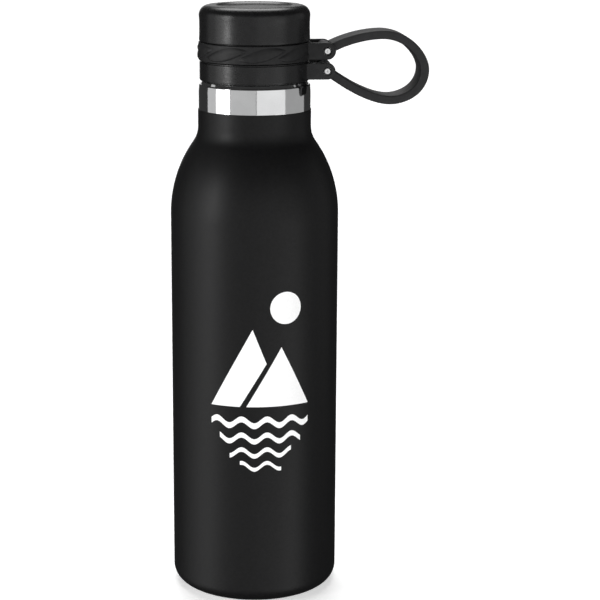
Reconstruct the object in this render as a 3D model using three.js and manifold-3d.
// Insulated water bottle: a double-walled steel flask with a screw lid that stays tied to the neck
// by a strap loop between two swivel rings. Millimetres, +Z up, origin at the centre of the base.
// The loop points along +X.
import * as THREE from 'three';
import { mergeVertices } from 'three/addons/utils/BufferGeometryUtils.js';
import Module from 'manifold-3d';

const wasm = await Module();
wasm.setup();

// ---- driving dimensions -------------------------------------------------------------------
const gap = 0.3; // clearance between pieces that touch or run against each other
const facets = 36; // sides of every round piece that goes round the bottle's axis

// body
const bodyRadius = 36.5;
const bodyHeight = 168; // top of the straight wall, where the shoulder starts
const baseCorner = 7; // radius of the rounded bottom edge
const shellWall = 0.7;
const shoulderArc = 54; // radius of the shoulder's long convex curve
const neckFillet = 11.6; // radius of the concave curve from shoulder to neck
const coatedNeck = 7.3; // straight coated neck above the fillet

// liner and vacuum space
const mouthRadius = 16.5; // clear radius of the drinking mouth
const linerWall = 0.5;
const neckLinerWall = 0.6; // liner wall at the mouth, thicker where it is rolled over
const vacuumGap = 2.2;
const linerFillet = 8;
const linerCorner = 8; // corner radius of the liner's bottom cup
const linerFloor = 6; // underside of the liner's bottom above the ground
const foilThickness = 0.2;

// base
const baseSheet = 0.8; // thickness of the bottom plate and its cover
const portDimple = 5; // radius of the pressed dimple round the vacuum port
const portRadius = 1.2; // hole through which the air is drawn out
const baseSeat = 1.8; // how far the bottom plate reaches past the foot rim's opening
const beadThickness = 0.4; // drop of solder glass that closes the port
const getterOffset = 15; // from the bottle's axis
const getterRadius = 5.2;
const getterWall = 0.5;
const getterSheet = 0.4;
const getterDepth = 1.6;

// threaded neck
const neckWall = 1;
const spigotDepth = 6; // how far the neck ring reaches down inside the coated neck
const threadDepth = 1;
const threadPitch = 4;
const threadTurns = 1.75;
const threadLeadIn = 2.9; // start of the neck's thread above the foot of the upper ring
const threadRunOut = 2.2; // end of the neck's thread below the lip
const threadOffset = 1.7; // the lid's ridge runs this far below the neck's
const threadSink = 0.4; // part of a ridge that is inside its wall
const threadPlay = 0.4; // radial clearance between the two threads
const collarHeight = 10.6; // polished band above the coat
const ledgeHeight = 1.2; // narrower step that carries the lower ring
const ledgeInset = 0.75; // ledge inside the lower ring's outside
const beadReach = 0.9; // bead that keeps the lower ring on the neck
const beadHeight = 0.8;
const collarStep = 0.1; // collar outside the upper ring
const coatStep = 0.28; // coat outside the collar

// rings, lid
const ringWall = 1.7; // upper ring, bore to outside
const lowerRingWall = 2;
const lowerRingInset = 0.4; // lower ring inside the upper ring's outside
const capInset = 0.2; // cap inside the upper ring's outside
const ringHeight = 7.9; // lower ring
const gripHeight = 7.7; // upper ring
const ringParting = 0.8; // gap between the two rings
const capParting = 0.4; // gap between upper ring and cap
const capLinerWall = 0.8;
const skirtWall = 1.1;
const sealThickness = 1.7;
const sealBoss = 1.2; // boss inside the seal, this much smaller than the mouth
const linerRoof = 1.2; // cap liner over the seal
const capHeight = 15.1; // visible part of the cap
const capFillet = 4.2;
const capRoof = 1.3; // cap wall under the recess
const recessRadius = 16.5;
const recessDepth = 0.9;
const recessSlope = 1.6; // width of the recess's sloping edge
const clipHeight = 0.9; // split ring that holds the upper ring on the cap
const clipReach = 1;
const clipGroove = 0.6; // depth of the clip's groove in the skirt
const clipBite = 0.35; // height of the skirt's lip below the groove
const clipSplit = 3; // width of the clip's open end

// lugs, pins and strap
const strapWidth = 15;
const strapThickness = 3.7;
const strapEdge = 0.8;
const cheekThickness = 1.95;
const upperLugStep = 0.5; // upper lug's foot above the upper ring's
const lowerLugStep = 0.8; // lower lug's foot above the lower ring's
const lowerLugDrop = 0.1; // lower lug's top below the lower ring's
const pinReach = 6.4; // pin axis beyond the outside of the upper ring
const pinRadius = 1.375;
const pinInset = 0.4; // how far the pin's ends sit below the cheeks' faces
const bushWall = 0.4;
const eyeWall = 1; // strap material round the bush
const loopReach = 42.25; // pin axis to the far end of the loop's centre line
const loopRise = 6.6; // top of the loop's centre line above the upper pin
const loopCrown = 23.9; // pin axis to the loop's highest point
const loopDrop = 12.8; // bottom of the loop's centre line below the lower pin
const loopBelly = 27.5; // pin axis to the loop's lowest point

// ---- radii that follow, from the mouth outwards -------------------------------------------
const linerNeckRadius = mouthRadius + neckLinerWall;
const neckBore = linerNeckRadius + gap;
const threadRoot = neckBore + neckWall;
const threadCrest = threadRoot + threadDepth;
const capBore = threadCrest + threadPlay;
const capLinerRadius = capBore + capLinerWall;
const skirtBore = capLinerRadius + gap;
const skirtRadius = skirtBore + skirtWall;
const upperBore = skirtRadius + gap;
const upperRadius = upperBore + ringWall;
const lowerRadius = upperRadius - lowerRingInset;
const capRadius = upperRadius - capInset;
const lowerBore = lowerRadius - lowerRingWall;
const grooveRadius = lowerBore - gap;
const beadRadius = grooveRadius + beadReach;
const ledgeRadius = lowerRadius - ledgeInset;
const collarRadius = upperRadius + collarStep;
const coatRadius = collarRadius + coatStep;

// ---- heights that follow, from the ground up ----------------------------------------------
const filletTop = tangentHeight(bodyRadius, shoulderArc, coatRadius, neckFillet);
const coatTop = filletTop + coatedNeck;
const collarTop = coatTop + gap + collarHeight;
const ledgeTop = collarTop + ledgeHeight;
const lowerRingBase = ledgeTop + gap;
const lowerRingTop = lowerRingBase + ringHeight;
const beadTop = lowerRingTop - 0.4;
const gripBase = lowerRingTop + ringParting;
const gripTop = gripBase + gripHeight;
const skirtBase = gripBase + gap;
const capBase = gripTop + capParting;
const capTop = capBase + capHeight;
const threadBase = gripBase + threadLeadIn;
const lipTop = threadBase + threadTurns * threadPitch + threadRunOut; // rolled lip of the mouth
const upperLugHeight = gripHeight - upperLugStep;
const lowerLugHeight = ringHeight - lowerLugStep - lowerLugDrop;
const upperPinHeight = gripTop - upperLugHeight / 2;
const lowerPinHeight = lowerRingTop - lowerLugDrop - lowerLugHeight / 2;
const pinX = upperRadius + pinReach;

// Height of the centre of a concave fillet that joins a convex shoulder to a neck.
function tangentHeight(radius, arc, neck, fillet) {
  const across = neck + fillet + arc - radius;
  return bodyHeight + Math.sqrt((arc + fillet) ** 2 - across ** 2);
}

// ---- shape helpers ------------------------------------------------------------------------
function arc(r, z, radius, from, to, steps) {
  const points = [];
  for (let i = 0; i <= steps; i++) {
    const a = THREE.MathUtils.degToRad(from + ((to - from) * i) / steps);
    points.push([r + radius * Math.cos(a), z + radius * Math.sin(a)]);
  }
  return points;
}

// A closed outline of [radius, height] points, anticlockwise, turned round +Z.
function turned(outline, sides = facets) {
  const points = outline.map(([r, z]) => new THREE.Vector2(Math.max(r, 0), z));
  points.push(points[0].clone());
  return new THREE.LatheGeometry(points, sides).rotateX(Math.PI / 2);
}

function ring(inner, outer, low, high, sides = facets) {
  return turned([[inner, low], [outer, low], [outer, high], [inner, high]], sides);
}

// The same ring lying across the bottle, on an axis along Y.
function crossRing(inner, outer, length, sides) {
  const half = length / 2;
  return ring(inner, outer, -half, half, sides).rotateX(Math.PI / 2);
}

function rod(radius, length, sides) {
  return new THREE.CylinderGeometry(radius, radius, length, sides);
}

// A shape drawn in the XZ plane and extruded to both sides of it.
function plate(shape, width, options = {}) {
  const { bevel = 0, curveSegments = 8 } = options;
  const geometry = new THREE.ExtrudeGeometry(shape, {
    depth: width - 2 * bevel,
    bevelEnabled: bevel > 0,
    bevelThickness: bevel,
    bevelSize: bevel,
    bevelSegments: 1,
    curveSegments,
  });
  return geometry.rotateX(Math.PI / 2).translate(0, width / 2 - bevel, 0);
}

function solid(geometry) {
  const bare = geometry.index ? geometry.toNonIndexed() : geometry.clone();
  bare.deleteAttribute('normal');
  bare.deleteAttribute('uv');
  const merged = mergeVertices(bare, 1e-4);
  return new wasm.Manifold(
    new wasm.Mesh({
      numProp: 3,
      vertProperties: merged.attributes.position.array,
      triVerts: new Uint32Array(merged.index.array),
    }),
  );
}

function surface(manifold) {
  const { vertProperties, triVerts } = manifold.getMesh();
  const geometry = new THREE.BufferGeometry();
  geometry.setAttribute('position', new THREE.BufferAttribute(vertProperties, 3));
  geometry.setIndex(new THREE.BufferAttribute(triVerts, 1));
  const faceted = geometry.toNonIndexed();
  faceted.computeVertexNormals();
  return faceted;
}

// One ridge of a right-handed screw thread: a straight bar bent round the axis, thin at its ends.
// foot is the radius it stands on, crest the radius it reaches, and low the height of its start.
function threadRidge(foot, crest, low, footWidth, crestWidth) {
  const side = new THREE.Shape();
  side.moveTo(0, -footWidth / 2);
  side.lineTo(1, -crestWidth / 2);
  side.lineTo(1, crestWidth / 2);
  side.lineTo(0, footWidth / 2);
  side.closePath();
  const steps = Math.round(threadTurns * facets);
  const bar = new THREE.ExtrudeGeometry(side, { depth: 1, steps, bevelEnabled: false });
  const position = bar.attributes.position;
  const fade = 3 / steps;
  const facing = Math.sign(foot - crest); // keeps the faces pointing out on either side of a wall
  for (let i = 0; i < position.count; i++) {
    const along = position.getZ(i);
    const full = Math.min(1, Math.max(0.15, along / fade), Math.max(0.15, (1 - along) / fade));
    const radius = foot + (crest - foot) * position.getX(i) * full;
    const turn = along * threadTurns * 2 * Math.PI;
    const height = low + facing * position.getY(i) * full + along * threadTurns * threadPitch;
    position.setXYZ(i, radius * Math.cos(turn), radius * Math.sin(turn), height);
  }
  return solid(bar);
}

// ---- materials ----------------------------------------------------------------------------
function finish(color, roughness, metalness) {
  return new THREE.MeshStandardMaterial({ color, roughness, metalness });
}

const powderCoat = () => finish(0x161617, 0.55, 0.1);
const polishedSteel = () => finish(0xd0d2d4, 0.12, 1);
const brushedSteel = () => finish(0xb4b6b8, 0.35, 1);
const copper = () => finish(0xb87348, 0.35, 1);
const solderGlass = () => finish(0x6e6a60, 0.3, 0);
const getterMetal = () => finish(0x77787a, 0.6, 0.8);
const satinPlastic = () => finish(0x1b1b1c, 0.42, 0);
const softPlastic = () => finish(0x1d1d1e, 0.7, 0);
const strapRubber = () => finish(0x232325, 0.75, 0);
const linerPlastic = () => finish(0x2a2a2c, 0.5, 0);
const foam = () => finish(0xe6e2d6, 0.9, 0);
const sealRubber = () => finish(0xcfd2d2, 0.6, 0);

function part(name, geometry, material, x = 0, y = 0, z = 0) {
  const mesh = new THREE.Mesh(geometry, material);
  mesh.name = name;
  mesh.position.set(x, y, z);
  return mesh;
}

// ---- bottle -------------------------------------------------------------------------------
// Powder-coated outer wall, one drawn piece from the foot rim to the end of the coated neck.
function outerShell() {
  const centre = bodyRadius - shoulderArc;
  const inner = bodyRadius - shellWall;
  const rim = bodyRadius - baseCorner;
  const reach = shoulderArc + neckFillet;
  const tilt = THREE.MathUtils.radToDeg(Math.asin((filletTop - bodyHeight) / reach));
  const filletCentre = coatRadius + neckFillet;
  const outline = [
    [rim - shellWall, 0],
    ...arc(rim, baseCorner, baseCorner, -90, 0, 4),
    ...arc(centre, bodyHeight, shoulderArc, 0, tilt, 5),
    ...arc(filletCentre, filletTop, neckFillet, 180 + tilt, 180, 3).slice(1),
    [coatRadius, coatTop],
    [coatRadius - shellWall, coatTop],
    ...arc(filletCentre, filletTop, neckFillet + shellWall, 180, 180 + tilt, 3),
    ...arc(centre, bodyHeight, shoulderArc - shellWall, tilt, 0, 5).slice(1),
    [inner, baseCorner],
    ...arc(rim, baseCorner, baseCorner - shellWall, 0, -90, 3).slice(1),
    [rim - shellWall, shellWall],
  ];
  return turned(outline);
}

// Machined and polished neck ring: spigot inside the shell, collar, ledge, groove and bead for
// the lower ring, and the outside thread for the lid.
function threadedNeck() {
  const spigot = coatRadius - shellWall - gap;
  const collarBase = coatTop + gap;
  const stepTop = beadTop + beadReach;
  const beadFoot = beadTop - beadHeight;
  const outline = [
    [spigot - neckWall, coatTop - spigotDepth],
    [spigot, coatTop - spigotDepth],
    [spigot, collarBase],
    [collarRadius, collarBase],
    [collarRadius, collarTop - 4.4],
    [collarRadius - 0.2, collarTop - 1.6],
    [collarRadius - 0.6, collarTop - 0.2],
    [ledgeRadius, collarTop],
    [ledgeRadius, ledgeTop],
    [grooveRadius, ledgeTop],
    [grooveRadius, beadFoot - 0.2],
    [beadRadius, beadFoot],
    [beadRadius, beadTop],
    [threadRoot, stepTop],
    [threadRoot, lipTop - neckLinerWall - gap],
    [neckBore, lipTop - neckLinerWall - gap],
    [neckBore, stepTop - neckWall],
    [grooveRadius - neckWall, beadTop - 1.2],
    [grooveRadius - neckWall, ledgeTop - neckWall],
    [spigot - neckWall, collarTop - 2.2],
  ];
  const ridge = threadRidge(threadRoot - threadSink, threadCrest, threadBase, 2.4, 0.9);
  return surface(solid(turned(outline)).add(ridge));
}

// Inner steel wall from above its bottom cup to the rolled lip of the mouth.
const linerRadius = bodyRadius - shellWall - vacuumGap;
const linerJoint = linerFloor + linerCorner + 1; // top edge of the bottom cup
function innerLiner() {
  const centreArc = shoulderArc - shellWall - vacuumGap;
  const centre = linerRadius - centreArc;
  const filletHeight = tangentHeight(linerRadius, centreArc, linerNeckRadius, linerFillet);
  const reach = centreArc + linerFillet;
  const tilt = THREE.MathUtils.radToDeg(Math.asin((filletHeight - bodyHeight) / reach));
  const filletCentre = linerNeckRadius + linerFillet;
  const outline = [
    [linerRadius - linerWall, linerJoint + gap],
    [linerRadius, linerJoint + gap],
    ...arc(centre, bodyHeight, centreArc, 0, tilt, 4),
    ...arc(filletCentre, filletHeight, linerFillet, 180 + tilt, 180, 2).slice(1),
    [linerNeckRadius, lipTop - neckLinerWall],
    [threadRoot, lipTop - neckLinerWall],
    [threadRoot, lipTop],
    [mouthRadius, lipTop],
    ...arc(filletCentre, filletHeight, linerFillet + neckLinerWall, 180, 180 + tilt, 2),
    ...arc(centre, bodyHeight, centreArc - linerWall, tilt, 0, 4).slice(1),
  ];
  return turned(outline);
}

function linerBottom() {
  const corner = linerRadius - linerCorner;
  const centre = linerFloor + linerCorner;
  const outline = [
    [0, linerFloor],
    ...arc(corner, centre, linerCorner, -90, 0, 3),
    [linerRadius, linerJoint],
    [linerRadius - linerWall, linerJoint],
    ...arc(corner, centre, linerCorner - linerWall, 0, -90, 3),
    [0, linerFloor + linerWall],
  ];
  return turned(outline);
}

function copperWrap() {
  const inner = linerRadius + gap;
  return ring(inner, inner + foilThickness, linerJoint + 1, bodyHeight - 4);
}

// Structural bottom with a raised dimple and the port through which the air was drawn out.
const rimOpening = bodyRadius - baseCorner - shellWall;
function outerBase() {
  const low = baseSheet + gap;
  const edge = rimOpening + baseSeat;
  const outline = [
    [portRadius, low + baseSheet],
    [portDimple, low + baseSheet],
    [portDimple + 1, low],
    [edge, low],
    [edge, low + baseSheet],
    [portDimple + 1.5, low + baseSheet],
    [portDimple + 0.5, low + 2 * baseSheet],
    [portRadius, low + 2 * baseSheet],
  ];
  return turned(outline);
}

// Flat cover that closes the foot rim and stands on the ground with it.
function baseCover() {
  return turned([[0, 0], [rimOpening - gap, 0], [rimOpening - gap, baseSheet], [0, baseSheet]]);
}

function sealBead() {
  const low = baseSheet + gap + 0.1;
  const top = low + beadThickness;
  const edge = 2 * portRadius;
  const crown = edge - 2 * beadThickness;
  return turned([[0, low], [edge, low], [edge, (low + top) / 2], [crown, top], [0, top]], 16);
}

const getterFoot = 2 * baseSheet + 2 * gap;
const getterFloor = getterFoot + getterSheet;
const getterBore = getterRadius - getterWall;
function getterClip() {
  const outline = [
    [0, getterFoot],
    [getterRadius, getterFoot],
    [getterRadius, getterFoot + getterDepth],
    [getterBore, getterFoot + getterDepth],
    [getterBore, getterFloor],
    [0, getterFloor],
  ];
  return turned(outline, 20);
}

function getter() {
  const low = getterFloor + gap;
  const high = getterFoot + getterDepth + 0.4;
  const radius = getterBore - gap;
  return turned([[0, low], [radius, low], [radius, high], [0, high]], 20);
}

// ---- rings, pins and strap ----------------------------------------------------------------
const slotWidth = strapWidth + 2 * gap;
const lugWidth = slotWidth + 2 * cheekThickness;
const bushBore = pinRadius + gap;
const eyeBore = bushBore + bushWall + gap;
const eyeRadius = eyeBore + eyeWall;

// Two cheeks that stand out of a ring along +X, with a slot for the strap between them.
function cheeks(height, centre) {
  const start = mouthRadius; // well inside the ring, whose bore trims it
  const side = new THREE.Shape();
  side.moveTo(start, centre - height / 2);
  side.lineTo(pinX, centre - height / 2);
  side.absarc(pinX, centre, height / 2, -Math.PI / 2, Math.PI / 2, false);
  side.lineTo(start, centre + height / 2);
  side.closePath();
  const block = solid(plate(side, lugWidth));
  const length = 2 * pinX;
  const slotBox = new THREE.BoxGeometry(length, slotWidth, 2 * height);
  const slot = solid(slotBox.translate(length / 2, 0, centre));
  return block.subtract(slot);
}

// A ring with its lug, cut by the tool that turns its bore and by the cross holes for the pin.
function luggedRing(blank, boreTool, lugHeight, pinHeight) {
  const holes = solid(rod(pinRadius + gap, lugWidth + 2, 14).translate(pinX, 0, pinHeight));
  const sunk = solid(crossRing(0, pinRadius + 1.5 * gap, 2 * pinInset, 14));
  let body = solid(blank).add(cheeks(lugHeight, pinHeight));
  body = body.subtract(solid(boreTool)).subtract(holes);
  for (const side of [-1, 1]) {
    body = body.subtract(sunk.translate([pinX, (side * lugWidth) / 2, pinHeight]));
  }
  return surface(body);
}

function lowerRing() {
  const blank = turned([
    [0, lowerRingBase],
    [lowerRadius - 0.4, lowerRingBase],
    [lowerRadius, lowerRingBase + 0.5],
    [lowerRadius, lowerRingTop],
    [0, lowerRingTop],
  ]);
  const rebate = beadTop - beadHeight - 0.2 - gap;
  const boreTool = turned([
    [0, lowerRingBase - 1],
    [lowerBore, lowerRingBase - 1],
    [lowerBore, rebate],
    [beadRadius + gap, rebate],
    [beadRadius + gap, lowerRingTop + 1],
    [0, lowerRingTop + 1],
  ]);
  return luggedRing(blank, boreTool, lowerLugHeight, lowerPinHeight);
}

const clipBase = skirtBase + clipBite + gap; // above the skirt's bottom lip
const clipInner = skirtRadius - clipGroove + gap;
const clipOuter = clipInner + clipReach;
function upperRing() {
  const blank = turned([[0, gripBase], [upperRadius, gripBase], [upperRadius, gripTop], [0, gripTop]]);
  const rebate = clipBase + clipHeight + gap;
  const boreTool = turned([
    [0, gripBase - 1],
    [clipOuter + gap, gripBase - 1],
    [clipOuter + gap, rebate],
    [upperBore, rebate],
    [upperBore, gripTop + 1],
    [0, gripTop + 1],
  ]);
  return luggedRing(blank, boreTool, upperLugHeight, upperPinHeight);
}

const ringPin = () => rod(pinRadius, lugWidth - 2 * pinInset, 14);
const strapBush = () => crossRing(bushBore, bushBore + bushWall, strapWidth, 14);

// Middle line of the loop in the XZ plane, from the upper pin round to the lower one: four smooth
// bends that meet level at the top and bottom and upright at the far end.
function loopLine() {
  const point = (x, z) => new THREE.Vector2(pinX + x, z);
  const top = [loopCrown, upperPinHeight + loopRise];
  const far = [loopReach, lowerPinHeight];
  const low = [loopBelly, lowerPinHeight - loopDrop];
  const line = new THREE.CurvePath();
  const bend = (a, b, c, d) => {
    line.add(new THREE.CubicBezierCurve(point(...a), point(...b), point(...c), point(...d)));
  };
  bend([0, upperPinHeight], [7.7, upperPinHeight + 4.5], [top[0] - 6.4, top[1]], top);
  bend(top, [top[0] + 11.4, top[1]], [far[0], far[1] + 5.3], far);
  bend(far, [far[0], far[1] - 8.4], [low[0] + 6.9, low[1]], low);
  bend(low, [low[0] - 6.4, low[1]], [11.5, lowerPinHeight - 8.6], [0, lowerPinHeight]);
  return line;
}

function strapLoop() {
  const half = strapThickness / 2 - strapEdge;
  const steps = 40;
  const line = loopLine();
  const near = [];
  const away = [];
  for (let i = 0; i <= steps; i++) {
    const at = line.getPointAt(i / steps);
    const tangent = line.getTangentAt(i / steps);
    const across = new THREE.Vector2(-tangent.y, tangent.x).multiplyScalar(half);
    near.push(at.clone().add(across));
    away.push(at.clone().sub(across));
  }
  const band = new THREE.Shape([...near, ...away.reverse()]);
  let body = solid(plate(band, strapWidth, { bevel: strapEdge }));
  const ends = [upperPinHeight, lowerPinHeight];
  for (const z of ends) {
    body = body.add(solid(rod(eyeRadius, strapWidth, 20).translate(pinX, 0, z)));
  }
  for (const z of ends) {
    body = body.subtract(solid(rod(eyeBore, strapWidth + 2, 14).translate(pinX, 0, z)));
  }
  return surface(body);
}

// Split ring that snaps into the skirt's groove and carries the upper ring.
function ringClip() {
  const whole = solid(ring(clipInner, clipOuter, clipBase, clipBase + clipHeight));
  const block = new THREE.BoxGeometry(4 * clipReach, clipSplit, 4 * clipHeight);
  const split = block.translate(-clipOuter, 0, clipBase);
  return surface(whole.subtract(solid(split)));
}

// ---- cap ----------------------------------------------------------------------------------
const sealSeat = lipTop + gap + sealThickness + gap;
const insideTop = sealSeat + linerRoof; // top of the threaded liner
function capShell() {
  const grooveTop = clipBase + clipHeight + gap;
  const side = capRadius - capFillet;
  const outline = [
    [skirtBore, skirtBase],
    [skirtRadius, skirtBase],
    [skirtRadius, clipBase - gap],
    [skirtRadius - clipGroove, clipBase - gap],
    [skirtRadius - clipGroove, grooveTop],
    [skirtRadius, grooveTop],
    [skirtRadius, capBase],
    [capRadius, capBase],
    ...arc(side, capTop - capFillet, capFillet, 0, 90, 4),
    [recessRadius, capTop],
    [recessRadius - recessSlope, capTop - recessDepth],
    [0, capTop - recessDepth],
    [0, capTop - recessDepth - capRoof],
    [skirtBore, capTop - recessDepth - capRoof],
  ];
  return turned(outline);
}

// Threaded plastic liner with the seat for the seal under its roof.
function capLiner() {
  const boss = mouthRadius - sealBoss;
  const bossFoot = lipTop + 0.7;
  const outline = [
    [0, bossFoot],
    [boss, bossFoot],
    [boss, sealSeat],
    [capBore, sealSeat],
    [capBore, skirtBase + 0.2],
    [capLinerRadius, skirtBase + 0.2],
    [capLinerRadius, insideTop],
    [0, insideTop],
  ];
  const low = threadBase - threadOffset;
  const ridge = threadRidge(capBore + threadSink, capBore - threadDepth, low, 2, 0.8);
  return surface(solid(turned(outline)).add(ridge));
}

function sealRing() {
  const low = lipTop + gap;
  return ring(mouthRadius - sealBoss + gap, capBore - gap, low, low + sealThickness);
}

function insulationPuck() {
  const low = insideTop + gap;
  const high = capTop - recessDepth - capRoof - gap;
  const radius = skirtBore - gap;
  return turned([[0, low], [radius, low], [radius, high], [0, high]]);
}

// ---- assembly -----------------------------------------------------------------------------
const bottle = new THREE.Group().add(
  part('outer_shell', outerShell(), powderCoat()),
  part('threaded_neck', threadedNeck(), polishedSteel()),
  part('inner_liner', innerLiner(), brushedSteel()),
  part('liner_bottom', linerBottom(), brushedSteel()),
  part('copper_wrap', copperWrap(), copper()),
  part('outer_base', outerBase(), brushedSteel()),
  part('base_cover', baseCover(), brushedSteel()),
  part('seal_bead', sealBead(), solderGlass()),
  part('getter_clip', getterClip(), brushedSteel(), getterOffset),
  part('getter', getter(), getterMetal(), getterOffset),
);

const lowerSwivel = new THREE.Group().add(
  part('lower_ring', lowerRing(), satinPlastic()),
  part('lower_pin', ringPin(), polishedSteel(), pinX, 0, lowerPinHeight),
  part('lower_bush', strapBush(), brushedSteel(), pinX, 0, lowerPinHeight),
  part('strap', strapLoop(), strapRubber()),
);

const upperSwivel = new THREE.Group().add(
  part('upper_ring', upperRing(), softPlastic()),
  part('upper_pin', ringPin(), polishedSteel(), pinX, 0, upperPinHeight),
  part('upper_bush', strapBush(), brushedSteel(), pinX, 0, upperPinHeight),
);

const lid = new THREE.Group().add(
  part('ring_clip', ringClip(), brushedSteel()),
  part('cap_shell', capShell(), satinPlastic()),
  part('cap_liner', capLiner(), linerPlastic()),
  part('seal_ring', sealRing(), sealRubber()),
  part('insulation_puck', insulationPuck(), foam()),
);

const insulatedBottle = new THREE.Group().add(bottle, lowerSwivel, upperSwivel, lid);

export default insulatedBottle;
